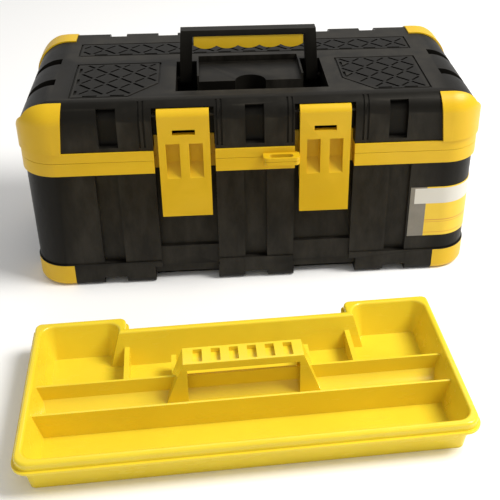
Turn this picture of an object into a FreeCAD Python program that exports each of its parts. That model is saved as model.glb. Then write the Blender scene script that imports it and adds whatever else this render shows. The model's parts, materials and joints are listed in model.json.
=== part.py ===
import FreeCAD, Part
import math
import os
import re
import Sketcher
from FreeCAD import Placement, Rotation, Vector

# A moulded plastic toolbox with a hinged lid, two front latches, a folding carry handle and a
# loose lift-out tray. Millimetres. The origin is the middle of the tub's base, +X is the box's
# right as seen from the front, +Y its rear and +Z up. The lid is closed, the handle is upright
# and the tray stands on the same floor, in front of the box.

SIZES = {
    # tub: a thin wall that leans out from the floor to the band
    "wall": 3, "tub_half": 249, "tub_front": 116, "tub_rear": 115, "tub_corner": 40,
    "end_lean": 1.2, "front_lean": 5.6, "tub_top": 146, "skirt_top": 29, "skirt_proud": 1.5,
    "skirt_round": 8,
    "foot_top": 28, "foot_reach": 206, "foot_wrap": 60, "foot_thick": 2.3,
    # bands round the seam
    "seam": 161, "seam_gap": 0.2, "band_top": 172, "band_half": 251.3, "band_front": 119.5,
    "band_rear": 117, "band_corner": 41, "band_thick": 6,
    # lid
    "lid_half": 249.5, "lid_front": 117.5, "lid_rear": 117, "lid_corner": 38, "lid_top": 225,
    "edge_round": 20, "end_round": 38, "cap_proud": 3, "cap_rise": 1.5, "cap_reach_low": 206,
    "cap_wrap": 80, "cap_top_wrap": 106, "cap_slope_low": 185, "cap_slope_high": 212,
    "rear_cap_wrap": 76, "cap_reach_top": 198,
    "rear_cap_reach": 203, "form_low": 150, "cap_high": 235,
    # vertical channels in the walls of the tub and the lid
    "channel_deep": 5, "lid_channel_deep": 8, "tub_mid": 12.5, "tub_side_in": 148,
    "tub_side_out": 172,
    "lid_mid": 10, "lid_side_in": 144, "lid_side_out": 164, "lid_back_in": 82,
    "lid_back_out": 106, "lid_channel_low": 176.5, "lid_channel_top": 219.5,
    "lid_channel_reach": 104, "lid_back_reach": 92,
    "end_reach": 212, "end_front_low": -57, "end_front_high": -41, "end_rear_low": 4,
    "end_rear_high": 20, "flute_deep": 1.2, "flute_low": 176,
    # notches under the skirt
    "notch_face": 105, "under_face": 93, "big_notch_in": 43.3, "big_notch_out": 115.6,
    "big_notch_top": 21, "small_notch_top": 10, "mid_notch": 13.3, "side_notch_in": 148.2,
    "side_notch_out": 174.2,
    # latch recesses, latches and their pins
    "recess_in": 42.5, "recess_out": 107.5, "recess_face": 104.5, "recess_low": 46,
    "recess_top": 218.5,
    "apron_face": 108, "band_recess_face": 106, "tongue_top": 185, "tongue_gap": 0.5,
    "tongue_proud": 0.4,
    "latch_mid": 75, "latch_width": 54.5, "latch_face": 120, "latch_low": 92,
    "latch_axis_y": -112.5, "latch_axis_z": 210, "latch_roll": 7.5, "latch_pin": 1.5,
    "latch_pin_in": 40.5, "latch_pin_out": 109.5, "latch_back": 107.2, "latch_thin": 3.6,
    "pocket_wide": 14.5, "pocket_gap": 10, "pocket_top": 180, "slot_wide": 24,
    "slot_low": 190, "slot_high": 196, "keeper_low": 118, "keeper_high": 123,
    "keeper_face": 112.3, "hook_face": 112.8, "hook_low": 112.5, "hook_high": 117,
    "hook_half": 16, "thin_top": 128, "body_low": 134, "body_high": 186, "neck_low": 190,
    "neck_deep": 7, "pocket_skin": 1.8, "pocket_mid": 154, "pocket_low": 136,
    # rear hinge
    "hinge_y": 117.5, "knuckle": 4.5, "knuckle_relief": 5, "hinge_pin": 2, "hinge_start": 78,
    "hinge_mid_start": 90, "hinge_mid_end": 100, "hinge_end": 112, "hinge_gap": 0.3,
    "running_gap": 0.05,
    # padlock tabs on the bands
    "hasp_left": 8, "hasp_right": 47, "hasp_front": 133, "hasp_thick": 4.2, "hasp_corner": 5,
    "hasp_slot_left": 14, "hasp_slot_right": 40, "hasp_slot_front": 130.8,
    "hasp_slot_rear": 123, "hasp_slot_corner": 3.8, "hasp_slot_low": 140,
    "hasp_slot_deep": 40, "hasp_root": 4,
    # handle well and handle
    "well_half": 57, "well_rear": 17, "well_floor": 218, "trench_half": 82,
    "trench_front": 84.5, "trench_rear": 43, "trench_floor": 194, "arm_slot_in": 59,
    "arm_slot_rear": 2, "scoop": 17, "boss_deep": 6, "boss_front": -18, "boss_rear": 2,
    "boss_low": 197, "boss_high": 219,
    "handle_y": -8, "handle_z": 208, "handle_thick": 14, "handle_top": 267, "bar_low": 260,
    "arm_low": 199, "arm_out_top": 75.5, "arm_out_low": 79.5, "arm_in_top": 62.5,
    "arm_in_low": 66, "handle_pin": 3, "handle_pin_in": 66.2, "handle_pin_out": 88,
    "handle_reach": 90, "grip_half": 61.5, "grip_thick": 12, "grip_low": 245, "lobe": 22, "lobe_pitch": 24,
    "lobe_root": 249,
    # tread panels
    "tread_deep": 1.5, "strip_half": 195, "strip_front": 26, "strip_rear": 66.5,
    "panel_in": 99, "panel_out": 193, "panel_rear": 1, "panel_front": -95,
    "panel_cut_y": -60, "panel_cut_x": 131,
    # label
    "label_left": 174, "label_rear": -70, "label_low": 48, "label_high": 113,
    "label_thick": 0.5,
    # rails for the tray inside the tub
    "rail_in": 120, "rail_out": 200, "rail_edge": 93, "rail_low": 134, "rail_top": 140,
    # tray, in its own axes
    "tray_x": -24.5, "tray_y": -318, "tray_turn": 2.2, "tray_half": 205, "tray_deep": 98.5,
    "tray_corner": 16, "tray_top": 38, "tray_floor": 2.5, "rim_inset": 2.5, "rim_low": 29,
    "rim_round": 2.8, "flange_low": 27.2, "flange_high": 29.6, "body_inset": 12,
    "body_lean": 5, "body_corner": 6, "body_lobe_corner": 4, "cavity_inset": 18.5, "cavity_lean": 10,
    "cavity_corner": 4, "tray_notch_half": 110, "tray_notch_deep": 18, "lobe_corner": 8,
    "divider_top": 30, "divider_thick": 2.4, "divider_rear": 9.6, "divider_front": -28.8,
    "divider_reach": 195, "wall_foot": 1, "part_out": 112, "part_in": 66, "part_rear": 80, "stub_rear": 50,
    "part_top": 22, "part_thick": 5,
    "trough_round": 22, "trough_floor": 4.5,
    "bar_half": 57, "bar_deep": 12, "bar_top": 52, "bar_drop": 8, "bar_pocket": 5,
    "bar_slot": 8.5, "bar_slot_deep": 9, "bar_pitch": 17.2, "leg_foot": 76,
    "leg_skin": 3.5, "web_thick": 2.5,
}

doc = FreeCAD.newDocument("toolbox")
sheet = doc.addObject("Spreadsheet::Sheet", "sizes")
for row, (alias, value) in enumerate(SIZES.items(), 1):
    sheet.set("A%d" % row, alias)
    sheet.set("B%d" % row, str(value))
    sheet.setAlias("B%d" % row, alias)
doc.recompute()

FAR = 300    # further out than any part of the box
INNER = 100  # how near the middle a block that cuts in from outside may come
PLANES = {
    "XY": Rotation(),
    "XZ": Rotation(Vector(1, 0, 0), 90),
    "YZ": Rotation(Vector(1, 1, 1), 120),
}
ALONG = {"XY": "z", "XZ": "y", "YZ": "x"}
FLUTES = ((34, 36), (39, 41), (115, 117), (120, 122))
NODES = []


# ---- modelling words -------------------------------------------------------------------------

def formula(text):
    """Turn a formula that uses the sheet's aliases into a FreeCAD expression."""
    return re.sub(r"[a-z_]{2,}", lambda m: "sizes." + m[0] if m[0] in SIZES else m[0], str(text))


def value(text):
    return float(sheet.evalExpression(formula(text)))


def minus(text):
    return "-(%s)" % text


def bind(thing, **formulas):
    for name, text in formulas.items():
        thing.setExpression(name.replace("_", "."), formula(text))


def place(thing, x=0, y=0, z=0):
    for axis, text in zip("xyz", (x, y, z)):
        thing.setExpression("Placement.Base." + axis, formula(text))


def block(name, x0, x1, y0, y1, z0, z1):
    solid = doc.addObject("Part::Box", name)
    place(solid, x0, y0, z0)
    bind(solid, Length="(%s) - (%s)" % (x1, x0), Width="(%s) - (%s)" % (y1, y0),
         Height="(%s) - (%s)" % (z1, z0))
    return solid


def both_sides(name, near, far, y0, y1, z0, z1):
    """Two blocks, mirrored about the box's middle plane."""
    return [block(name + "_right", near, far, y0, y1, z0, z1),
            block(name + "_left", minus(far), minus(near), y0, y1, z0, z1)]


def rod(name, axis, start, end, a, b, radius):
    """A cylinder along X, Y or Z. a and b are its centre's other two coordinates, in order."""
    solid = doc.addObject("Part::Cylinder", name)
    turn = {"X": Rotation(Vector(0, 1, 0), 90), "Y": Rotation(Vector(1, 0, 0), -90),
            "Z": Rotation()}[axis]
    solid.Placement = Placement(Vector(), turn)
    where = {"X": (start, a, b), "Y": (a, start, b), "Z": (a, b, start)}[axis]
    place(solid, *where)
    bind(solid, Radius=radius, Height="(%s) - (%s)" % (end, start))
    return solid


def pin_vertex(sketch, line, a, b):
    """Hold the start of a sketch line at the coordinates that two formulas give."""
    for kind, text in (("DistanceX", a), ("DistanceY", b)):
        index = sketch.addConstraint(Sketcher.Constraint(kind, -1, 1, line, 1, value(text)))
        sketch.setExpression("Constraints[%d]" % index, formula(text))


def new_sketch(name, plane, height):
    sketch = doc.addObject("Sketcher::SketchObject", name)
    sketch.Placement = Placement(Vector(), PLANES[plane])
    sketch.setExpression("Placement.Base." + ALONG[plane], formula(height))
    return sketch


def polygon(name, plane, height, points):
    sketch = new_sketch(name, plane, height)
    corners = [Vector(value(a), value(b), 0) for a, b in points]
    count = len(corners)
    lines = [Part.LineSegment(corners[i], corners[(i + 1) % count]) for i in range(count)]
    sketch.addGeometry(lines, False)
    for i in range(count):
        sketch.addConstraint(Sketcher.Constraint("Coincident", i, 2, (i + 1) % count, 1))
    for i, (a, b) in enumerate(points):
        pin_vertex(sketch, i, a, b)
    return sketch


def rounded(name, plane, height, a0, a1, b0, b1, radius):
    """A rectangle with four equal round corners: four lines and four tangent arcs."""
    sketch = new_sketch(name, plane, height)
    left, right, low, high = value(a0), value(a1), value(b0), value(b1)
    r = value(radius)
    quarter = math.pi / 2
    starts = [(left + r, low), (right, low + r), (right - r, high), (left, high - r)]
    ends = [(right - r, low), (right, high - r), (left + r, high), (left, low + r)]
    centres = [(right - r, low + r), (right - r, high - r), (left + r, high - r),
               (left + r, low + r)]
    for i in range(4):
        sketch.addGeometry(Part.LineSegment(Vector(*starts[i], 0), Vector(*ends[i], 0)), False)
        circle = Part.Circle(Vector(*centres[i], 0), Vector(0, 0, 1), r)
        sketch.addGeometry(Part.ArcOfCircle(circle, (i - 1) * quarter, i * quarter), False)
    for i in range(4):
        line, arc, following = 2 * i, 2 * i + 1, (2 * i + 2) % 8
        sketch.addConstraint(Sketcher.Constraint("Tangent", line, 2, arc, 1))
        sketch.addConstraint(Sketcher.Constraint("Tangent", arc, 2, following, 1))
        flat = "Horizontal" if i % 2 == 0 else "Vertical"
        sketch.addConstraint(Sketcher.Constraint(flat, line))
    for arc in (3, 5, 7):
        sketch.addConstraint(Sketcher.Constraint("Equal", 1, arc))
    for kind, line, text in (("DistanceY", 0, b0), ("DistanceX", 2, a1), ("DistanceY", 4, b1),
                             ("DistanceX", 6, a0)):
        index = sketch.addConstraint(Sketcher.Constraint(kind, -1, 1, line, 1, value(text)))
        sketch.setExpression("Constraints[%d]" % index, formula(text))
    index = sketch.addConstraint(Sketcher.Constraint("Radius", 1, r))
    sketch.setExpression("Constraints[%d]" % index, formula(radius))
    return sketch


def extrude(name, sketch, length):
    """Pull a sketch along its plane's normal: +Z from XY, -Y from XZ and +X from YZ."""
    solid = doc.addObject("Part::Extrusion", name)
    solid.Base = sketch
    solid.DirMode = "Normal"
    solid.Solid = True
    bind(solid, LengthFwd=length)
    return solid


def fuse(name, *things):
    solid = doc.addObject("Part::MultiFuse", name)
    solid.Shapes = list(things)
    return solid


def cut(name, base, *tools):
    solid = doc.addObject("Part::Cut", name)
    solid.Base = base
    solid.Tool = tools[0] if len(tools) == 1 else fuse(name + "_tools", *tools)
    return solid


def common(name, first, second):
    solid = doc.addObject("Part::Common", name)
    solid.Base = first
    solid.Tool = second
    return solid


def fillet(name, base, radius, wanted):
    """Round every edge of a solid that the test called wanted picks out."""
    doc.recompute()
    solid = doc.addObject("Part::Fillet", name)
    solid.Base = base
    size = value(radius)
    solid.Edges = [(i, size, size) for i, edge in enumerate(base.Shape.Edges, 1) if wanted(edge)]
    return solid


def level_edges(height):
    """The test for edges that lie flat at one height."""
    level = value(height)

    def wanted(edge):
        box = edge.BoundBox
        return abs(box.ZMin - level) < 1e-4 and abs(box.ZMax - level) < 1e-4
    return wanted


def node(name, solid):
    """Name a finished sub-part. The name is its file's name too."""
    solid.Label = name
    NODES.append(solid)


# ---- tub -------------------------------------------------------------------------------------

def tub_form(name, inset, low, high):
    """The tub's outline, moved inwards by inset, between two heights. Its front and rear lean
    out towards the top more than its ends do."""
    plans = []
    for level, z in (("_low", low), ("_high", high)):
        fall = "(1 - (%s) / tub_top)" % z
        ends = "tub_half - (%s) - end_lean * %s" % (inset, fall)
        sides = "(%s) + front_lean * %s" % (inset, fall)
        plans.append(rounded(name + level, "XY", z, minus(ends), ends,
                             minus("tub_front - (%s)" % sides), "tub_rear - (%s)" % sides,
                             "tub_corner - (%s)" % sides))
    solid = doc.addObject("Part::Loft", name)
    solid.Sections = plans
    solid.Solid = True
    solid.Ruled = True
    return solid


def tub_channels(name, grow):
    """What the vertical channels take from the tub, each grown by the same amount."""
    low = "skirt_top - (%s)" % grow
    boxes = []
    for side, y0, y1 in (("front", -FAR, -INNER), ("rear", INNER, FAR)):
        boxes.append(block(name + side + "_mid", "-tub_mid - (%s)" % grow,
                           "tub_mid + (%s)" % grow, y0, y1, low, FAR))
        boxes += both_sides(name + side, "tub_side_in - (%s)" % grow,
                            "tub_side_out + (%s)" % grow, y0, y1, low, FAR)
    for end in ("end_front", "end_rear"):
        boxes += both_sides(name + end, "end_reach", FAR, "%s_low - (%s)" % (end, grow),
                            "%s_high + (%s)" % (end, grow), low, FAR)
    inner = tub_form(name + "_inner", "channel_deep + (%s)" % grow, "wall", "tub_top + 5")
    return cut(name, fuse(name + "_boxes", *boxes), inner)


def tub_recesses(name, grow):
    """The latch recesses with the apron below them, and the notches under the skirt."""
    near, far = "recess_in - (%s)" % grow, "recess_out + (%s)" % grow
    boxes = both_sides(name + "_recess", near, far, -FAR, "-recess_face + (%s)" % grow,
                       "recess_low - (%s)" % grow, FAR)
    boxes += both_sides(name + "_apron", near, far, -FAR, "-apron_face + (%s)" % grow,
                        "big_notch_top - (%s)" % grow, "recess_low")
    low, big = "small_notch_top + (%s)" % grow, "big_notch_top + (%s)" % grow
    for side, face, under in (("front", (-FAR, "-notch_face + (%s)" % grow),
                               (-FAR, "-under_face + (%s)" % grow)),
                              ("rear", ("notch_face - (%s)" % grow, FAR),
                               ("under_face - (%s)" % grow, FAR))):
        boxes.append(block(name + side + "_mid", "-mid_notch - (%s)" % grow,
                           "mid_notch + (%s)" % grow, *under, -5, low))
        boxes += both_sides(name + side + "_side", "side_notch_in - (%s)" % grow,
                            "side_notch_out + (%s)" % grow, *under, -5, low)
        near, far = "big_notch_in - (%s)" % grow, "big_notch_out + (%s)" % grow
        boxes += both_sides(name + side + "_under", near, far, *under, -5, low)
        boxes += both_sides(name + side + "_big", near, far, *face, -5, big)
    return fuse(name, *boxes)


def corner_blocks(name, reach, wrap, low, high):
    """One block round each vertical corner, keyed by its place."""
    blocks = {}
    for place_y, y0, y1 in (("f", -FAR, minus(wrap)), ("r", wrap, FAR)):
        blocks[place_y + "r"] = block(name + place_y + "r", reach, FAR, y0, y1, low, high)
        blocks[place_y + "l"] = block(name + place_y + "l", -FAR, minus(reach), y0, y1, low, high)
    return blocks


def make_tub():
    skirt = fillet("skirt", tub_form("skirt_form", "-skirt_proud", 0, "skirt_top"),
                   "skirt_round", level_edges(0))
    feet = []
    foot_core = tub_form("foot_core", "foot_thick - skirt_proud", "foot_thick", "skirt_top")
    hoop = cut("foot_hoop", skirt, foot_core)
    for corner, region in corner_blocks("foot_region_", "foot_reach", "foot_wrap", -5,
                                        "foot_top").items():
        foot = common("foot_solid_" + corner, hoop, region)
        node("foot_" + corner, foot)
        feet.append(foot)
    wall = tub_form("tub_wall", 0, "skirt_top / 2", "tub_top")
    outside = cut("tub_outside", fuse("tub_raw", skirt, wall), tub_channels("tub_channels", 0),
                  tub_recesses("tub_recesses", 0), *feet)
    hollow = cut("tub_hollow", tub_form("tub_hollow_form", "wall", "wall", "tub_top + 2"),
                 tub_channels("tub_channels_in", "wall"),
                 tub_recesses("tub_recesses_in", "wall"))
    shell = cut("tub_shell", outside, hollow)
    ledges = both_sides("rail_front", "rail_in", "rail_out", "-tub_front + 2", "-rail_edge",
                        "rail_low", "rail_top")
    ledges += both_sides("rail_rear", "rail_in", "rail_out", "rail_edge", "tub_rear - 2",
                         "rail_low", "rail_top")
    inside_wall = tub_form("rail_limit", "wall / 2", INNER, "tub_top")
    rails = common("rails", fuse("rail_blocks", *ledges), inside_wall)
    ledge_cut = cut("rails_trimmed", rails, tub_channels("rail_channels", "wall / 2"))
    keepers = both_sides("keeper", "latch_mid - hook_half", "latch_mid + hook_half",
                         "-keeper_face", "-recess_face + 1", "keeper_low", "keeper_high")
    node("base_shell", fuse("base_shell_solid", shell, ledge_cut, *keepers))
    sticker = block("label_region", "label_left", FAR, -FAR, "label_rear", "label_low",
                    "label_high")
    skin = cut("label_skin", tub_form("label_out", "-label_thick", "label_low - 5", "label_high + 5"),
               tub_form("label_in", 0, "label_low - 10", "label_high + 10"))
    node("label", common("label_solid", skin, sticker))


# ---- bands, hinge and padlock tabs -----------------------------------------------------------

def band_form(name, inset, low, high):
    plan = rounded(name + "_plan", "XY", low, minus("band_half - (%s)" % inset),
                   "band_half - (%s)" % inset, minus("band_front - (%s)" % inset),
                   "band_rear - (%s)" % inset, "band_corner - (%s)" % inset)
    return extrude(name, plan, "(%s) - (%s)" % (high, low))


def ring(name, low, high):
    """A band, with the latch recesses folded into its front."""
    front = cut(name + "_outer", band_form(name + "_form", 0, low, high),
                *both_sides(name + "_dent", "recess_in", "recess_out", -FAR,
                            "-band_recess_face", -5, FAR))
    bore = cut(name + "_bore", band_form(name + "_bore_form", "band_thick", INNER, 2 * INNER),
               *both_sides(name + "_inner_dent", "recess_in - wall", "recess_out + wall", -FAR,
                           "-band_recess_face + wall", -5, FAR))
    return cut(name + "_ring", front, bore)


def hinge_rods(name, start, end, radius):
    """One rod on the hinge line at each side."""
    return [rod(name + "_right", "X", start, end, "hinge_y", "seam", radius),
            rod(name + "_left", "X", minus(end), minus(start), "hinge_y", "seam", radius)]


def hasp(name, low, high):
    tab = rounded(name + "_plan", "XY", low, "hasp_left", "hasp_right", "-hasp_front",
                  "-band_front + hasp_root", "hasp_corner")
    return extrude(name, tab, "(%s) - (%s)" % (high, low))


def make_bands():
    slot_plan = rounded("hasp_slot_plan", "XY", "hasp_slot_low", "hasp_slot_left", "hasp_slot_right",
                        "-hasp_slot_front", "-hasp_slot_rear", "hasp_slot_corner")
    slot = extrude("hasp_slot", slot_plan, "hasp_slot_deep")
    bores = hinge_rods("hinge_bore", "hinge_start - 1", "hinge_end + 1", "hinge_pin + running_gap")
    low_face, high_face = "seam - seam_gap", "seam + seam_gap"

    knuckles = hinge_rods("knuckle_outer", "hinge_mid_end", "hinge_end", "knuckle")
    knuckles += hinge_rods("knuckle_inner", "hinge_start", "hinge_mid_start", "knuckle")
    tab = hasp("tub_hasp", low_face + " - hasp_thick", low_face)
    low_band = fuse("tub_band_body", ring("tub_band", "tub_top", low_face), tab, *knuckles)
    relief = hinge_rods("tub_relief", "hinge_mid_start - hinge_gap / 2",
                        "hinge_mid_end + hinge_gap / 2", "knuckle_relief")
    node("base_band", cut("base_band_solid", low_band, slot, *bores, *relief))

    knuckles = hinge_rods("knuckle_mid", "hinge_mid_start + hinge_gap",
                          "hinge_mid_end - hinge_gap", "knuckle")
    tab = hasp("lid_hasp", high_face, high_face + " + hasp_thick")
    tongues = both_sides("tongue", "recess_in + tongue_gap", "recess_out - tongue_gap",
                         "-band_recess_face - tongue_proud", "-recess_face", high_face,
                         "tongue_top")
    high_band = fuse("lid_band_body", ring("lid_band", high_face, "band_top"), tab, *knuckles,
                     *tongues)
    relief = hinge_rods("lid_relief_in", "hinge_start - hinge_gap",
                        "hinge_mid_start + hinge_gap / 2", "knuckle_relief")
    relief += hinge_rods("lid_relief_out", "hinge_mid_end - hinge_gap / 2",
                         "hinge_end + hinge_gap", "knuckle_relief")
    node("lid_band", cut("lid_band_solid", high_band, slot, *bores, *relief))

    for pin in hinge_rods("hinge_pin", "hinge_start", "hinge_end", "hinge_pin"):
        node(pin.Name, pin)


# ---- lid -------------------------------------------------------------------------------------

def lid_form(name, inset, top_inset, low):
    """The lid's outline: round vertical corners, a small round at the front and rear edges
    and a larger one over the ends."""
    half, high = "(lid_half - (%s))" % inset, "(lid_top - (%s))" % top_inset
    plan = rounded(name + "_plan", "XY", low, minus(half), half,
                   minus("lid_front - (%s)" % inset), "lid_rear - (%s)" % inset,
                   "lid_corner - (%s)" % inset)
    prism = extrude(name + "_prism", plan, "%s - (%s)" % (high, low))
    eased = fillet(name + "_eased", prism, "edge_round - (%s)" % inset, level_edges(high))
    profile = rounded(name + "_profile", "XZ", FAR, minus(half), half, INNER, high,
                      "end_round - (%s)" % inset)
    return common(name, eased, extrude(name + "_arch", profile, 2 * FAR))


def lid_channels(name, grow, core, front_top):
    """What the channels take from the lid, down to the form called core. Those at the front
    end at front_top, below the lid's round edge; the others run on over the edge."""
    low = "lid_channel_low - (%s)" % grow
    front, rear = "lid_channel_reach - (%s)" % grow, "lid_back_reach - (%s)" % grow
    boxes = []
    for side, y0, y1, high in (("front", -FAR, minus(front), front_top),
                               ("rear", rear, FAR, FAR)):
        boxes.append(block(name + side + "_mid", "-lid_mid - (%s)" % grow,
                           "lid_mid + (%s)" % grow, y0, y1, low, high))
        boxes += both_sides(name + side, "lid_side_in - (%s)" % grow,
                            "lid_side_out + (%s)" % grow, y0, y1, low, high)
    boxes += both_sides(name + "_back", "lid_back_in - (%s)" % grow,
                        "lid_back_out + (%s)" % grow, rear, FAR, low, FAR)
    for end in ("end_front", "end_rear"):
        boxes += both_sides(name + end, "end_reach - (%s)" % grow, FAR,
                            "%s_low - (%s)" % (end, grow), "%s_high + (%s)" % (end, grow),
                            low, FAR)
    return cut(name, fuse(name + "_boxes", *boxes), core)


def latch_recesses(name, grow, high):
    return both_sides(name, "recess_in - (%s)" % grow, "recess_out + (%s)" % grow, -FAR,
                      "-recess_face + (%s)" % grow, INNER, high)


def handle_well(name, grow):
    """The finger well with its scoop, and the slots and trench that the handle folds into."""
    deep = "trench_floor - (%s)" % grow
    parts = [
        block(name + "_well", "-well_half - (%s)" % grow, "well_half + (%s)" % grow,
              "-trench_rear - 1", "well_rear + (%s)" % grow, "well_floor - (%s)" % grow, FAR),
        block(name + "_trench", "-trench_half - (%s)" % grow, "trench_half + (%s)" % grow,
              "-trench_front - (%s)" % grow, "-trench_rear + (%s)" % grow, deep, FAR),
        rod(name + "_scoop", "Z", deep, FAR, 0, "-trench_rear", "scoop + (%s)" % grow),
    ]
    parts += both_sides(name + "_slot", "arm_slot_in - (%s)" % grow,
                        "trench_half + (%s)" % grow, "-trench_front - (%s)" % grow,
                        "arm_slot_rear + (%s)" % grow, deep, FAR)
    return parts


def tread_pockets():
    floor = "lid_top - tread_deep"
    pockets = [block("strip", "-strip_half", "strip_half", "strip_front", "strip_rear", floor,
                     FAR)]
    for name, sign in (("panel_right", ""), ("panel_left", "-")):
        points = [("panel_in", "panel_rear"), ("panel_in", "panel_cut_y"),
                  ("panel_cut_x", "panel_front"), ("panel_out", "panel_front"),
                  ("panel_out", "panel_rear")]
        outline = polygon(name + "_plan", "XY", floor, [(sign + a, b) for a, b in points])
        pockets.append(extrude(name, outline, 10))
    return pockets


def flutes(core):
    """Fine vertical grooves beside the latch recesses."""
    boxes = []
    for i, (near, far) in enumerate(FLUTES):
        boxes += both_sides("flute%d" % i, near, far, -FAR, "-recess_face", "flute_low", FAR)
    return cut("flutes", fuse("flute_boxes", *boxes), core)


def pin_rods(name, start, end, y, z, radius):
    return [rod(name + "_right", "X", start, end, y, z, radius),
            rod(name + "_left", "X", minus(end), minus(start), y, z, radius)]


def cap_regions():
    """Where the lid's corner caps are, keyed by corner. The front ones' inner edge slants, and
    they reach further along the ends below than they do on top."""
    regions = {}
    above = polygon("cap_top_plan", "YZ", -FAR, [
        ("-cap_wrap", "cap_slope_low"), (0, "cap_slope_low"), (0, FAR), ("-cap_top_wrap", FAR),
        ("-cap_top_wrap", "cap_slope_high")])
    top = extrude("cap_top", above, 2 * FAR)
    for side, sign in (("r", ""), ("l", "-")):
        outline = polygon("cap_outline_" + side, "XZ", "-cap_wrap", [
            (sign + "cap_reach_low", "form_low"), (sign + str(FAR), "form_low"),
            (sign + str(FAR), "cap_high"), (sign + "cap_reach_top", "cap_high")])
        front = extrude("cap_front_" + side, outline, INNER)
        regions["f" + side] = cut("cap_region_f" + side, front, top)
    right, left = both_sides("cap_region_r", "rear_cap_reach", FAR, "rear_cap_wrap", FAR,
                             "form_low", FAR)
    regions["rr"], regions["rl"] = right, left
    return regions


def make_lid():
    outer = lid_form("lid_outer", 0, 0, "band_top")
    core = lid_form("lid_core", "lid_channel_deep", "lid_channel_deep", "form_low")
    inner_core = lid_form("lid_inner_core", "lid_channel_deep + wall",
                          "lid_channel_deep + wall", "form_low")
    hollow_form = lid_form("lid_hollow_form", "wall", "wall", "band_top - 2")
    bosses = both_sides("boss", "trench_half + 1", "trench_half + boss_deep", "boss_front",
                        "boss_rear", "boss_low", "boss_high")
    latch_bores = pin_rods("latch_bore", "latch_pin_in", "latch_pin_out", "latch_axis_y",
                           "latch_axis_z", "latch_pin + running_gap")
    handle_bores = pin_rods("handle_bore", "trench_half - 2", "handle_pin_out", "handle_y",
                            "handle_z", "handle_pin + running_gap")
    hollow = cut("lid_hollow", hollow_form, lid_channels("lid_channels_in", "wall", inner_core, FAR),
                 *latch_recesses("recess_in", "wall", FAR), *handle_well("well_in", "wall"), *bosses)
    flute_core = lid_form("flute_core", "flute_deep", "flute_deep", "form_low")
    outside = cut("lid_outside", outer, lid_channels("lid_channels", 0, core, "lid_channel_top"),
                  *latch_recesses("lid_recess", 0, "recess_top"), *handle_well("well", 0),
                  *tread_pockets(), flutes(flute_core))
    shell = cut("lid_walls", outside, hollow)
    node("lid_shell", cut("lid_shell_solid", shell, *latch_bores, *handle_bores))

    proud = lid_form("cap_form", "-cap_proud", "-cap_rise", "band_top")
    skin = cut("cap_skin", proud, lid_form("cap_seat", 0, 0, "band_top - 5"))
    for corner, region in cap_regions().items():
        node("lid_cap_" + corner, common("cap_solid_" + corner, skin, region))

    for pin in pin_rods("latch_pin", "latch_pin_in", "latch_pin_out", "latch_axis_y",
                        "latch_axis_z", "latch_pin"):
        node(pin.Name, pin)
    for pin in pin_rods("handle_pin", "handle_pin_in", "handle_pin_out", "handle_y",
                        "handle_z", "handle_pin"):
        node(pin.Name, pin)


# ---- latches ---------------------------------------------------------------------------------

def make_latch(side, middle):
    """A latch: thin pull plate, deep body with two finger pockets, slot, and rolled top."""
    def name(part):
        return "latch_%s_%s" % (side, part)

    left, right = middle + " - latch_width / 2", middle + " + latch_width / 2"
    face, thin_back = "-latch_face", "-latch_face + latch_thin"
    outline = polygon(name("outline"), "YZ", left, [
        (face, "latch_low"), (thin_back, "latch_low"), (thin_back, "thin_top"),
        ("-latch_back", "body_low"), ("-latch_back", "body_high"),
        ("-latch_face + neck_deep", "neck_low"),
        ("-latch_face + neck_deep", "latch_axis_z"), (face, "latch_axis_z")])
    plate = extrude(name("plate"), outline, "latch_width")
    roll = rod(name("roll"), "X", left, right, "latch_axis_y", "latch_axis_z", "latch_roll")
    hook = block(name("hook"), middle + " - hook_half", middle + " + hook_half",
                 thin_back + " - 1", "-hook_face", "hook_low", "hook_high")
    cuts = [block(name("slot"), middle + " - slot_wide / 2", middle + " + slot_wide / 2",
                  -FAR, -INNER, "slot_low", "slot_high"),
            rod(name("bore"), "X", left + " - 1", right + " + 1", "latch_axis_y",
                "latch_axis_z", "latch_pin + running_gap")]
    wedge = [("-latch_face - 2", "pocket_top"), ("-latch_back - pocket_skin", "pocket_top"),
             ("-latch_back - pocket_skin", "pocket_mid"), ("-latch_face - 2", "pocket_low")]
    for hand, start in (("a", middle + " - pocket_gap / 2 - pocket_wide"),
                        ("b", middle + " + pocket_gap / 2")):
        pocket = polygon(name("pocket_" + hand + "_outline"), "YZ", start, wedge)
        cuts.append(extrude(name("pocket_" + hand), pocket, "pocket_wide"))
    node("latch_" + side, cut(name("solid"), fuse(name("body"), plate, roll, hook), *cuts))


# ---- carry handle ----------------------------------------------------------------------------

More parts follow.
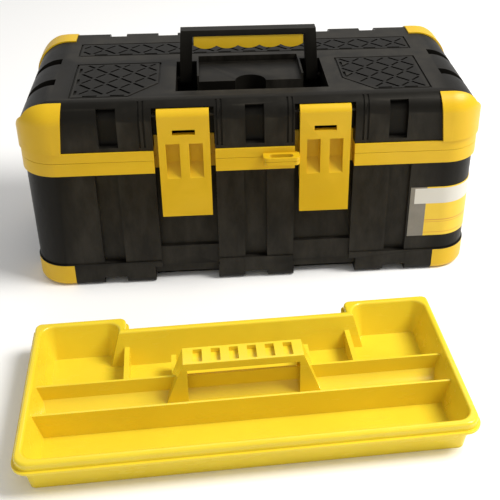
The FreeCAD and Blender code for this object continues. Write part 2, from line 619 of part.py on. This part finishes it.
def make_handle():
    outline = polygon("handle_outline", "XZ", "handle_y + handle_thick / 2", [
        ("-arm_out_low", "arm_low"), ("-arm_in_low", "arm_low"), ("-arm_in_top", "bar_low"),
        ("arm_in_top", "bar_low"), ("arm_in_low", "arm_low"), ("arm_out_low", "arm_low"),
        ("arm_out_top", "handle_top"), ("-arm_out_top", "handle_top")])
    arch = extrude("handle_arch", outline, "handle_thick")
    slab = block("handle_slab", "-handle_reach", "handle_reach", "handle_y - handle_thick / 2",
                 "handle_y + handle_thick / 2", "handle_z", "handle_top")
    round_end = rod("handle_round_end", "X", "-handle_reach", "handle_reach", "handle_y",
                    "handle_z", "handle_thick / 2")
    body = common("handle_body", arch, fuse("handle_side", slab, round_end))
    bores = pin_rods("arm_bore", "arm_slot_in", "handle_reach", "handle_y", "handle_z",
                     "handle_pin + running_gap")
    node("handle_frame", cut("handle_frame_solid", body, *bores))

    front, rear = "handle_y - grip_thick / 2", "handle_y + grip_thick / 2"
    bar = block("grip_bar", "-grip_half", "grip_half", front, rear, "lobe_root", "bar_low")
    limit = block("grip_limit", "-grip_half", "grip_half", front, rear, "grip_low", "bar_low")
    lobes = [rod("lobe%d" % i, "Y", front, rear, "%d * lobe_pitch" % (i - 2),
                 "grip_low + lobe", "lobe") for i in range(5)]
    node("handle_grip", common("grip_solid", fuse("grip_raw", bar, *lobes), limit))


# ---- tray ------------------------------------------------------------------------------------

def tray_form(name, inset, low, high, corner, rear_corner, lean=0):
    """The tray's outline, moved inwards by inset: a wide front part and two rear lobes with
    the notch between them. Its sides lean outwards by lean over its height."""
    half, deep = "(tray_half - (%s))" % inset, "(tray_deep - (%s))" % inset
    near = "(tray_notch_half + (%s))" % inset
    plans = [rounded(name + "_main_plan", "XY", low, minus(half), half, minus(deep),
                     deep + " - tray_notch_deep", corner),
             rounded(name + "_right_plan", "XY", low, near, half, 0, deep, rear_corner),
             rounded(name + "_left_plan", "XY", low, minus(half), minus(near), 0, deep,
                     rear_corner)]
    solids = [extrude(plan.Name[:-len("_plan")], plan, "(%s) - (%s)" % (high, low))
              for plan in plans]
    if lean:
        for solid in solids:
            bind(solid, TaperAngle="atan((%s) / ((%s) - (%s)))" % (lean, high, low))
    return fuse(name, *solids)


def tray_walls():
    """Dividers, partitions and the rounded trough floor, as solids inside the tray."""
    half, thick = "divider_thick / 2", "part_thick / 2"
    walls = []
    for name, y in (("divider_r", "divider_rear"), ("divider_f", "divider_front")):
        walls.append(block(name, "-divider_reach", "divider_reach", "%s - %s" % (y, half),
                           "%s + %s" % (y, half), "wall_foot", "divider_top"))
    for name, x, rear in (("part_o", "part_out", "part_rear"), ("part_i", "part_in", "stub_rear")):
        walls += both_sides(name, "%s - %s" % (x, thick), "%s + %s" % (x, thick), "divider_rear",
                            rear, "wall_foot", "part_top")
    bed = block("trough_bed", "-divider_reach", "divider_reach", "divider_front",
                "divider_rear", "wall_foot", "trough_floor + trough_round / 2")
    scoop = rod("trough_scoop", "X", -FAR, FAR, "(divider_front + divider_rear) / 2",
                "trough_floor + trough_round", "trough_round")
    walls.append(cut("trough", bed, scoop))
    return walls


def tray_bar():
    """The carry bar: a plate with six shallow pockets in its top, on two flared legs."""
    y0, y1 = "divider_rear - bar_deep", "divider_rear + bar_deep"
    top = block("bar_plate", "-bar_half", "bar_half", y0, y1, "bar_top - bar_drop", "bar_top")
    pockets = [block("bar_slot%d" % i, "%s * bar_pitch - bar_slot / 2" % (i - 2.5),
                     "%s * bar_pitch + bar_slot / 2" % (i - 2.5),
                     "divider_rear - bar_slot_deep", "divider_rear + bar_slot_deep",
                     "bar_top - bar_pocket", "bar_top + 1") for i in range(6)]
    bar = [cut("bar_open", top, *pockets)]
    for name, sign in (("leg_right", ""), ("leg_left", "-")):
        skin = polygon(name + "_skin_plan", "XZ", y1, [
            (sign + "bar_half", "bar_top"), (sign + "(bar_half - leg_skin)", "bar_top"),
            (sign + "(leg_foot - leg_skin)", "wall_foot"), (sign + "leg_foot", "wall_foot")])
        bar.append(extrude(name + "_skin", skin, "2 * bar_deep"))
        for end, y in (("_front", y0 + " + web_thick"), ("_rear", y1)):
            web = polygon(name + end + "_plan", "XZ", y, [
                (sign + "(bar_half - 1)", "bar_top - 1"),
                (sign + "(bar_half - leg_skin)", "bar_top - 1"),
                (sign + "(bar_half - leg_skin)", "wall_foot"),
                (sign + "(leg_foot - 1)", "wall_foot")])
            bar.append(extrude(name + end, web, "web_thick"))
    return bar


def make_tray():
    flange = tray_form("tray_flange", 0, "flange_low", "flange_high", "tray_corner",
                       "lobe_corner")
    body = tray_form("tray_body", "body_inset", 0, "rim_low", "body_corner", "body_lobe_corner",
                     "body_lean")
    rim_form = tray_form("tray_rim", "rim_inset", "flange_low", "tray_top",
                         "tray_corner - rim_inset", "lobe_corner - rim_inset / 2")
    cavity = tray_form("tray_cavity", "cavity_inset", "tray_floor", "tray_top + 1",
                       "cavity_corner", "cavity_corner", "cavity_lean")
    rim = fillet("tray_bead", cut("tray_rim_ring", rim_form, cavity), "rim_round",
                 level_edges("tray_top"))
    pan = cut("tray_pan", fuse("tray_outside", flange, body),
              cut("tray_open_cavity", cavity, *tray_walls()))
    tray = fuse("tray_solid", pan, rim, *tray_bar())
    tray.Placement = Placement(Vector(), Rotation(Vector(0, 0, 1), 1))
    place(tray, "tray_x", "tray_y")
    tray.setExpression("Placement.Rotation.Angle", formula("tray_turn"))
    node("tray", tray)


# ---- build, check and write ------------------------------------------------------------------

def write_parts():
    doc.recompute()
    failed = [thing.Name for thing in doc.Objects
              if "Invalid" in thing.State or "Error" in thing.State]
    bad = [thing.Label for thing in NODES if thing.Shape.isNull() or not thing.Shape.isValid()]
    if failed or bad:
        raise RuntimeError("objects failed: %s, bad shapes: %s" % (failed, bad))
    os.makedirs("parts", exist_ok=True)
    for thing in NODES:
        thing.Shape.exportStep(os.path.join("parts", thing.Label + ".step"))
        print("%-18s %d solid(s) %10.0f mm3" % (thing.Label, len(thing.Shape.Solids),
                                                thing.Shape.Volume))


make_tub()
make_bands()
make_lid()
make_latch("left", "-latch_mid")
make_latch("right", "latch_mid")
make_handle()
make_tray()
write_parts()
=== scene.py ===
import json
import math

import bmesh
import bpy
from mathutils import Matrix, Vector
from mathutils.geometry import delaunay_2d_cdt


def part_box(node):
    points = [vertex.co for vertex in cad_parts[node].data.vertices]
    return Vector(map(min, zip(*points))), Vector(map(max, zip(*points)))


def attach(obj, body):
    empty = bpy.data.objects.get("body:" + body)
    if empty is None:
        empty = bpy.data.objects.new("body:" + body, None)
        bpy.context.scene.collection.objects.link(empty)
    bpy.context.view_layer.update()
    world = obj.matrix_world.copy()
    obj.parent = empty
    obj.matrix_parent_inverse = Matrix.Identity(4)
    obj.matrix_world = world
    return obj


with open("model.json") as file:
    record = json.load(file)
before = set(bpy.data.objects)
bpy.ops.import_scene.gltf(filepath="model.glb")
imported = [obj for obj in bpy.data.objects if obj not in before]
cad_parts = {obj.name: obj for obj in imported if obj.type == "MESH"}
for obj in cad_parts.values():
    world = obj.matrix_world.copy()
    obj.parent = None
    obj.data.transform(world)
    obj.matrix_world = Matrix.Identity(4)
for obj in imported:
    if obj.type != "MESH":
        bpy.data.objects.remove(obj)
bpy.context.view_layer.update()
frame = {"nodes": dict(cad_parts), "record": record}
MM = 0.001
NODES = frame["nodes"]


# ---- materials -------------------------------------------------------------------------------

# parts of a noise's range: nearly all of it, its middle, and how it breaks up the edges' wear and
# painted highlight
USUAL = (0.3, 0.7)
CLOUDY = (0.35, 0.7)
PATCHY = (0.35, 0.65)
# how sharp an edge has to be to get a little of its painted highlight and wear, and to get all of
# it
EDGE_WEAR_AND_HIGHLIGHT_FROM, EDGE_WEAR_AND_HIGHLIGHT_TO = 0.52, 0.60

BLACK_DEEP = (0.0056, 0.0051, 0.0042)
BLACK_LIGHT = (0.0070, 0.0063, 0.0050)
BLACK_DUSTY = (0.015, 0.0136, 0.011)
# the colour of sharp edges: scuffed wear and a painted highlight
BLACK_WORN_AND_HIGHLIT = (0.04, 0.036, 0.029)
STEEL_DARK = (0.42, 0.42, 0.42)
STEEL_LIGHT = (0.62, 0.62, 0.6)
FILM_YELLOW = ((0.76, 0.50, 0.022), (0.80, 0.54, 0.03))
FILM_GREY = ((0.17, 0.155, 0.125), (0.22, 0.20, 0.165))
FILM_RED = (0.55, 0.16, 0.03)
FILM_WHITE = (0.62, 0.60, 0.54)

# what is printed on the label, in millimetres: the heights of the thin rules and of the banner,
# and where across the box the grey edge ends and the banner starts
LABEL_RULES = ((68.6, 70.0), (66.2, 66.9), (52.0, 52.8))
LABEL_BANNER = (91.5, 111.5)
LABEL_GREY_END = 192.5
LABEL_BANNER_START = 179
PAST_THE_BOX = 900


def new_material(name):
    material = bpy.data.materials.new(name)
    material.use_nodes = True
    tree = material.node_tree
    shader = tree.nodes["Principled BSDF"]
    return material, tree, shader


def add(tree, kind, **values):
    """A node with its sockets and settings filled in by name."""
    made = tree.nodes.new(kind)
    for key, value in values.items():
        if hasattr(made, key):
            setattr(made, key, value)
        else:
            made.inputs[key.replace("_", " ")].default_value = value
    return made


def noise(tree, scale, detail, rough=0.5, squeeze=(1, 1, 1)):
    """A noise whose pattern is fixed to the object, in features per metre."""
    place = add(tree, "ShaderNodeTexCoord")
    stretch = add(tree, "ShaderNodeMapping")
    stretch.inputs["Scale"].default_value = squeeze
    pattern = add(tree, "ShaderNodeTexNoise", Scale=scale, Detail=detail, Roughness=rough)
    tree.links.new(place.outputs["Object"], stretch.inputs["Vector"])
    tree.links.new(stretch.outputs["Vector"], pattern.inputs["Vector"])
    return pattern.outputs["Fac"]


def spread(tree, source, low, high, start, end):
    """Map a source from start..end to low..high."""
    made = add(tree, "ShaderNodeMapRange")
    made.inputs["From Min"].default_value = start
    made.inputs["From Max"].default_value = end
    made.inputs["To Min"].default_value = low
    made.inputs["To Max"].default_value = high
    tree.links.new(source, made.inputs["Value"])
    return made.outputs["Result"]


def mix(tree, factor, first, second):
    """Mix two colours, each a tuple or a socket, by a factor socket or number."""
    made = add(tree, "ShaderNodeMix", data_type="RGBA")
    for socket, value in ((made.inputs[0], factor), (made.inputs[6], first),
                          (made.inputs[7], second)):
        if isinstance(value, bpy.types.NodeSocket):
            tree.links.new(value, socket)
        else:
            socket.default_value = value if socket.type != "RGBA" else (*value, 1.0)
    return made.outputs[2]


def math_node(tree, operation, *values):
    """A Math node fed with sockets or numbers."""
    made = add(tree, "ShaderNodeMath", operation=operation)
    for socket, value in zip(made.inputs, values):
        if isinstance(value, bpy.types.NodeSocket):
            tree.links.new(value, socket)
        else:
            socket.default_value = value
    return made.outputs[0]


def edge_wear_and_highlight(tree, patches):
    """Where edges stick out, from 0 to 1, broken up by the patches: the mask for edges painted
    lighter, as wear and as a painted highlight.
    """
    geometry = add(tree, "ShaderNodeNewGeometry")
    edges = spread(tree, geometry.outputs["Pointiness"], 0.0, 1.0, EDGE_WEAR_AND_HIGHLIGHT_FROM, EDGE_WEAR_AND_HIGHLIGHT_TO)
    return math_node(tree, "MULTIPLY", edges, spread(tree, patches, 0.25, 1.0, *PATCHY))


def bump(tree, shader, layers):
    """Stack bumps. Each layer is (height socket, strength, distance in metres)."""
    last = None
    for height, strength, distance in layers:
        made = add(tree, "ShaderNodeBump", Strength=strength, Distance=distance)
        tree.links.new(height, made.inputs["Height"])
        if last:
            tree.links.new(last, made.inputs["Normal"])
        last = made.outputs["Normal"]
    tree.links.new(last, shader.inputs["Normal"])


def black_plastic():
    """Fine-grained satin black polypropylene, slightly brown, with dusty lighter patches and its
    sharp edges painted lighter, as wear and as a painted highlight.
    """
    material, tree, shader = new_material("black_polypropylene")
    grain = noise(tree, 1300, 2)
    clouds = noise(tree, 16, 4, 0.6)
    smears = noise(tree, 60, 5, 0.65, (1, 1, 0.35))
    body = mix(tree, spread(tree, clouds, 0, 1, *CLOUDY), BLACK_DEEP, BLACK_LIGHT)
    dusty = mix(tree, spread(tree, smears, 0, 0.16, 0.55, 0.8), body, BLACK_DUSTY)
    # sharp edges painted lighter: scuffed wear and a painted highlight along them
    worn_and_highlit = mix(tree, math_node(tree, "MULTIPLY", edge_wear_and_highlight(tree, smears), 0.6), dusty,
               BLACK_WORN_AND_HIGHLIT)
    tree.links.new(worn_and_highlit, shader.inputs["Base Color"])
    tree.links.new(spread(tree, smears, 0.36, 0.45, *USUAL), shader.inputs["Roughness"])
    bump(tree, shader, [(grain, 0.3, 0.0001), (clouds, 0.12, 0.0006)])
    shader.inputs["Specular IOR Level"].default_value = 0.12
    shader.inputs["Specular Tint"].default_value = (1.0, 0.95, 0.85, 1)
    return material


def yellow_plastic(name, deep, light, rough_low, rough_high, coat):
    """Moulded yellow polypropylene with a little depth and faint flow marks, and its sharp edges
    painted lighter, as wear and as a painted highlight. The colour goes from deep to light, the
    roughness from rough_low to rough_high, and coat is its gloss."""
    material, tree, shader = new_material(name)
    clouds = noise(tree, 14, 4, 0.6)
    flow = noise(tree, 70, 4, 0.6, (0.25, 1, 1))
    grain = noise(tree, 1500, 2)
    body = mix(tree, spread(tree, clouds, 0, 1, *CLOUDY), deep, light)
    marked = mix(tree, spread(tree, flow, 0, 0.25, 0.58, 0.8), body,
                 tuple(0.86 * c for c in deep))
    # sharp edges painted lighter: scuffed wear and a painted highlight along them
    worn_and_highlit = mix(tree, math_node(tree, "MULTIPLY", edge_wear_and_highlight(tree, flow), 0.4), marked,
               tuple(min(1, 1.12 * c + 0.01) for c in light))
    tree.links.new(worn_and_highlit, shader.inputs["Base Color"])
    tree.links.new(spread(tree, flow, rough_low, rough_high, *USUAL),
                   shader.inputs["Roughness"])
    bump(tree, shader, [(grain, 0.12, 0.00006), (clouds, 0.08, 0.0005)])
    shader.inputs["Subsurface Weight"].default_value = 0.1
    shader.inputs["Subsurface Radius"].default_value = (0.004, 0.0022, 0.0004)
    shader.inputs["Subsurface Scale"].default_value = 1.0
    shader.inputs["Specular IOR Level"].default_value = 0.25
    shader.inputs["Coat Weight"].default_value = coat
    shader.inputs["Coat Roughness"].default_value = 0.12
    return material


def steel():
    """Zinc-plated pin wire, drawn along its length."""
    material, tree, shader = new_material("zinc_steel")
    scratches = noise(tree, 900, 3, 0.6, (0.05, 1, 1))
    colour = mix(tree, spread(tree, scratches, 0, 1, *USUAL), STEEL_DARK, STEEL_LIGHT)
    tree.links.new(colour, shader.inputs["Base Color"])
    tree.links.new(spread(tree, scratches, 0.25, 0.45, *USUAL), shader.inputs["Roughness"])
    shader.inputs["Metallic"].default_value = 1.0
    bump(tree, shader, [(scratches, 0.1, 0.00005)])
    return material


def inside(tree, source, low, high):
    """1 where the source lies between low and high, given in millimetres."""
    above = math_node(tree, "GREATER_THAN", source, low * MM)
    below = math_node(tree, "LESS_THAN", source, high * MM)
    return math_node(tree, "MULTIPLY", above, below)


def label_film():
    """A printed film: a grey edge, a yellow field, a blank white banner and thin red rules."""
    material, tree, shader = new_material("printed_film")
    place = add(tree, "ShaderNodeTexCoord")
    axes = add(tree, "ShaderNodeSeparateXYZ")
    tree.links.new(place.outputs["Object"], axes.inputs[0])
    across, height = axes.outputs["X"], axes.outputs["Z"]
    stains = noise(tree, 45, 4, 0.6)
    fibres = noise(tree, 900, 2)
    field = mix(tree, spread(tree, stains, 0, 1, *CLOUDY), *FILM_YELLOW)
    for low, high in LABEL_RULES:
        field = mix(tree, math_node(tree, "MULTIPLY", inside(tree, height, low, high), 0.6),
                    field, FILM_RED)
    grey = mix(tree, spread(tree, stains, 0, 1, *CLOUDY), *FILM_GREY)
    printed = mix(tree, inside(tree, across, 0, LABEL_GREY_END), field, grey)
    banner = math_node(tree, "MULTIPLY", inside(tree, height, *LABEL_BANNER),
                       inside(tree, across, LABEL_BANNER_START, PAST_THE_BOX))
    printed = mix(tree, banner, printed, FILM_WHITE)
    tree.links.new(printed, shader.inputs["Base Color"])
    tree.links.new(spread(tree, stains, 0.3, 0.45, *USUAL), shader.inputs["Roughness"])
    shader.inputs["Specular IOR Level"].default_value = 0.4
    bump(tree, shader, [(fibres, 0.05, 0.00005), (stains, 0.1, 0.0004)])
    return material


MATERIALS = {
    "black_plastic": black_plastic(),
    "yellow_plastic": yellow_plastic("yellow_polypropylene", (0.66, 0.41, 0.009),
                                     (0.71, 0.45, 0.011), 0.34, 0.46, 0.05),
    "tray_plastic": yellow_plastic("tray_polypropylene", (0.80, 0.60, 0.03),
                                   (0.85, 0.65, 0.035), 0.2, 0.3, 0.3),
    "steel": steel(),
    "label_film": label_film(),
}


def dress(thing, material):
    thing.data.materials.clear()
    thing.data.materials.append(material)


# what soften does: points nearer than this join, faces turned less than this become one, and
# edges sharper than this are rounded by so many strips
JOIN_WITHIN = 0.01 * MM
FLAT_BELOW = math.radians(0.5)
SHARP_ABOVE = math.radians(30)
EDGE_STRIPS = 3
# how wide a node's rounded edges are, in millimetres
EDGE_WIDTH = 0.8
EDGE_WIDTHS = {"lid_shell": 0.9, "handle_frame": 1.8, "handle_grip": 1.5, "tray": 0.9}


def soften(thing, width):
    """Round the sharp edges of a node as moulded plastic has them."""
    weld = thing.modifiers.new("weld", "WELD")
    weld.merge_threshold = JOIN_WITHIN
    flat = thing.modifiers.new("flat", "DECIMATE")
    flat.decimate_type = "DISSOLVE"
    flat.angle_limit = FLAT_BELOW
    edge = thing.modifiers.new("edge", "BEVEL")
    edge.limit_method = "ANGLE"
    edge.angle_limit = SHARP_ABOVE
    edge.width = width
    edge.segments = EDGE_STRIPS
    edge.use_clamp_overlap = True
    edge.harden_normals = False
    thing.data.shade_smooth()
    even = thing.modifiers.new("even", "WEIGHTED_NORMAL")
    even.keep_sharp = False


for part in frame["record"]["subparts"]:
    thing = NODES[part["node"]]
    dress(thing, MATERIALS[part["material_slot"]])
    if "pin" not in part["node"] and part["node"] != "label":
        soften(thing, EDGE_WIDTHS.get(part["node"], EDGE_WIDTH) * MM)


# ---- tread pads on the lid -------------------------------------------------------------------

# The pads' outlines and grooves are in the CAD's millimetres, as the lid's pockets are. LID is
# the middle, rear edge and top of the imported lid, and DRAWN_LID is where those numbers put them.
LID_LOW, LID_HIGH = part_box("lid_shell")
LID = Vector(((LID_LOW.x + LID_HIGH.x) / 2, LID_HIGH.y, LID_HIGH.z))
DRAWN_LID = Vector((0, 117, 225)) * MM
PAD_TOP, PAD_FLOOR = 224.96, 223.55
STRIP = [(-195, 26), (195, 26), (195, 66.5), (-195, 66.5)]
PANEL = [(99, 1), (99, -60), (131, -95), (193, -95), (193, 1)]
STRIP_MIDDLE = (148.9, 46.8)
RIGHT_MIDDLE = (144.6, -45.4)
LEFT_MIDDLE = (-142.8, -42.6)

DIAMOND = (28.7, 29.9)
# how many half diamonds the lattice reaches each way, which is past the ends of every pad
LATTICE_REACH = (28, 8)
PAD_EDGE_GAP = 2.2
LATTICE_MARGIN = 2.6
SHORTEST_GROOVE = 3.5
# each way a groove runs: its direction along Y, the part of a diamond's side that it takes, and
# its width
GROOVES = ((-1, 0.84, 3.0), (1, 0.62, 2.4))
BORDER_GROOVE = 2.8
BORDER_HALF = 7.5
# what delaunay_2d_cdt gives, the triangles inside the outlines, and how near points join
INSIDE_ONLY, CDT_JOIN = 1, 0.001


def shrink(points, gap):
    """A convex outline, given anticlockwise, moved inwards by gap."""
    lines = []
    for (ax, ay), (bx, by) in zip(points, points[1:] + points[:1]):
        length = math.hypot(bx - ax, by - ay)
        nx, ny = (ay - by) / length, (bx - ax) / length
        lines.append((nx, ny, nx * ax + ny * ay + gap))
    corners = []
    for (a, b, c), (d, e, f) in zip(lines[-1:] + lines[:-1], lines):
        det = a * e - b * d
        corners.append(((c * e - b * f) / det, (a * f - c * d) / det))
    return corners


def clip(near, far, points):
    """The part of a straight line that lies inside a convex anticlockwise outline."""
    start, end = 0.0, 1.0
    for (ax, ay), (bx, by) in zip(points, points[1:] + points[:1]):
        nx, ny = ay - by, bx - ax
        before = nx * (near[0] - ax) + ny * (near[1] - ay)
        after = nx * (far[0] - ax) + ny * (far[1] - ay)
        if before < 0 and after < 0:
            return None
        if before < 0:
            start = max(start, before / (before - after))
        elif after < 0:
            end = min(end, before / (before - after))
    if start >= end:
        return None
    step = (far[0] - near[0], far[1] - near[1])
    return ((near[0] + start * step[0], near[1] + start * step[1]),
            (near[0] + end * step[0], near[1] + end * step[1]))


def groove(near, far, width):
    """A straight groove's four corners, anticlockwise."""
    dx, dy = far[0] - near[0], far[1] - near[1]
    length = math.hypot(dx, dy)
    ox, oy = -dy / length * width / 2, dx / length * width / 2
    return [(near[0] - ox, near[1] - oy), (far[0] - ox, far[1] - oy),
            (far[0] + ox, far[1] + oy), (near[0] + ox, near[1] + oy)]


def groove_strips(points, origin):
    """The pad's grooves: one along every side of the diamond lattice, clear of the next one's
    end and cut off where it would leave the pad. The origin is a crossing of the lattice."""
    wide, deep = DIAMOND[0] / 2, DIAMOND[1] / 2
    strips = []
    for i in range(-LATTICE_REACH[0], LATTICE_REACH[0] + 1):
        for j in range(-LATTICE_REACH[1], LATTICE_REACH[1] + 1):
            if (i + j) % 2:
                continue
            x, y = origin[0] + i * wide, origin[1] + j * deep
            for turn, reach, width in GROOVES:
                first, last = (1 - reach) / 2, (1 + reach) / 2
                line = clip((x + wide * first, y + turn * deep * first),
                            (x + wide * last, y + turn * deep * last), points)
                if line and math.dist(*line) > SHORTEST_GROOVE:
                    strips.append(groove(*line, width))
    return strips


def tread_pad(name, outline, origin, border):
    """A raised plate that fills one pocket in the lid, with the diamond grooves cut in it.
    The border is a list of the straight grooves at the lattice's edge."""
    points = shrink(outline, PAD_EDGE_GAP)
    strips = groove_strips(shrink(points, LATTICE_MARGIN), origin)
    strips += [groove(near, far, BORDER_GROOVE) for near, far in border]
    flat, faces = [], []
    for ring in [points] + strips:
        faces.append(list(range(len(flat), len(flat) + len(ring))))
        flat += [Vector(p) for p in ring]
    verts, _, cells, _, _, owners = delaunay_2d_cdt(flat, [], faces, INSIDE_ONLY, CDT_JOIN)
    shift = LID - DRAWN_LID
    bm = bmesh.new()
    top = [bm.verts.new(Vector((v.x, v.y, PAD_TOP)) * MM + shift) for v in verts]
    for cell, owner in zip(cells, owners):
        if all(number == 0 for number in owner):
            bm.faces.new([top[i] for i in cell])
    bmesh.ops.delete(bm, geom=[v for v in bm.verts if not v.link_faces], context="VERTS")
    rim = [edge for edge in bm.edges if edge.is_boundary]
    walls = bmesh.ops.extrude_edge_only(bm, edges=rim)["geom"]
    for vert in walls:
        if isinstance(vert, bmesh.types.BMVert):
            vert.co.z = PAD_FLOOR * MM + shift.z
    bmesh.ops.recalc_face_normals(bm, faces=bm.faces)
    mesh = bpy.data.meshes.new(name)
    bm.to_mesh(mesh)
    bm.free()
    pad = bpy.data.objects.new(name, mesh)
    bpy.context.scene.collection.objects.link(pad)
    dress(pad, MATERIALS["black_plastic"])
    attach(pad, "lid")


def level_grooves(y, middles):
    """The ends of short grooves along X at one y, about each middle."""
    return [((x - BORDER_HALF, y), (x + BORDER_HALF, y)) for x in middles]


STRIP_GROOVES = level_grooves(30.2, [146 + DIAMOND[0] * k for k in range(-11, 2)])
RIGHT_GROOVES = level_grooves(-90.6, (142.5, 171)) + [
    ((104.6, -13), (104.6, -25)), ((104.4, -43), (104.4, -57))]
LEFT_GROOVES = level_grooves(-90.6, (-171.5, -143)) + [
    ((-187.4, -24), (-187.4, -12)), ((-187.4, -55), (-187.4, -43)),
    ((-187.4, -86), (-187.4, -75))]
tread_pad("tread_strip", STRIP, STRIP_MIDDLE, STRIP_GROOVES)
tread_pad("tread_panel_right", PANEL, RIGHT_MIDDLE, RIGHT_GROOVES)
tread_pad("tread_panel_left", [(-x, y) for x, y in reversed(PANEL)], LEFT_MIDDLE,
          LEFT_GROOVES)


# ---- stage, lights and camera ----------------------------------------------------------------

FLOOR_REACH = 6
FLOOR_COLOUR = (0.97, 0.97, 0.97, 1)
# each light: its name, place, what it points at, its sides, its power and its colour
LIGHTS = (("key", (1.25, -0.45, 1.75), (0, -0.1, 0.1), (0.9, 0.9), 50, (1.0, 0.98, 0.94)),
          ("back", (0.2, 1.3, 1.6), (0, 0, 0.2), (1.6, 0.5), 4, (1.0, 0.94, 0.84)))
WORLD_COLOUR, WORLD_STRENGTH = (1, 1, 1, 1), 0.5
CAMERA_PLACE = (-0.04703, -0.97589, 0.60144)
PITCH, YAW, ROLL = (math.radians(angle) for angle in (29.91, -5.64, 0.45))
LENS, SENSOR_WIDTH = 64.75, 36
SHIFT = (-0.08, -0.10)


def make_floor():
    mesh = bpy.data.meshes.new("floor")
    corners = [(x * FLOOR_REACH, y * FLOOR_REACH, 0)
               for x, y in ((-1, -1), (1, -1), (1, 1), (-1, 1))]
    mesh.from_pydata(corners, [], [(0, 1, 2, 3)])
    floor = bpy.data.objects.new("floor", mesh)
    bpy.context.scene.collection.objects.link(floor)
    material, _, shader = new_material("pale_floor")
    shader.inputs["Base Color"].default_value = FLOOR_COLOUR
    shader.inputs["Roughness"].default_value = 0.9
    dress(floor, material)


def area_light(name, place, target, size, power, colour):
    data = bpy.data.lights.new(name, "AREA")
    data.shape = "RECTANGLE"
    data.size, data.size_y = size
    data.energy = power
    data.color = colour
    lamp = bpy.data.objects.new(name, data)
    bpy.context.scene.collection.objects.link(lamp)
    lamp.location = place
    lamp.rotation_euler = (Vector(target) - Vector(place)).to_track_quat("-Z", "Y").to_euler()


def make_lights():
    for light in LIGHTS:
        area_light(*light)
    world = bpy.data.worlds.new("studio")
    world.use_nodes = True
    background = world.node_tree.nodes["Background"]
    background.inputs["Color"].default_value = WORLD_COLOUR
    background.inputs["Strength"].default_value = WORLD_STRENGTH
    bpy.context.scene.world = world
    bpy.context.scene.view_settings.view_transform = "Standard"


def make_camera():
    """The camera stands in front of the box, a little left of its middle, and looks down."""
    level = Vector((-math.sin(YAW), math.cos(YAW), 0))
    side = Vector((math.cos(YAW), math.sin(YAW), 0))
    up = Vector((0, 0, 1))
    ahead = level * math.cos(PITCH) - up * math.sin(PITCH)
    above = up * math.cos(PITCH) + level * math.sin(PITCH)
    right = side * math.cos(ROLL) + above * math.sin(ROLL)
    top = above * math.cos(ROLL) - side * math.sin(ROLL)
    data = bpy.data.cameras.new("camera")
    data.lens = LENS
    data.sensor_width = SENSOR_WIDTH
    data.shift_x, data.shift_y = SHIFT
    camera = bpy.data.objects.new("camera", data)
    bpy.context.scene.collection.objects.link(camera)
    turn = Matrix((right, top, -ahead)).transposed().to_4x4()
    camera.matrix_world = Matrix.Translation(CAMERA_PLACE) @ turn
    bpy.context.scene.camera = camera


make_floor()
make_lights()
make_camera()

bpy.context.view_layer.update()
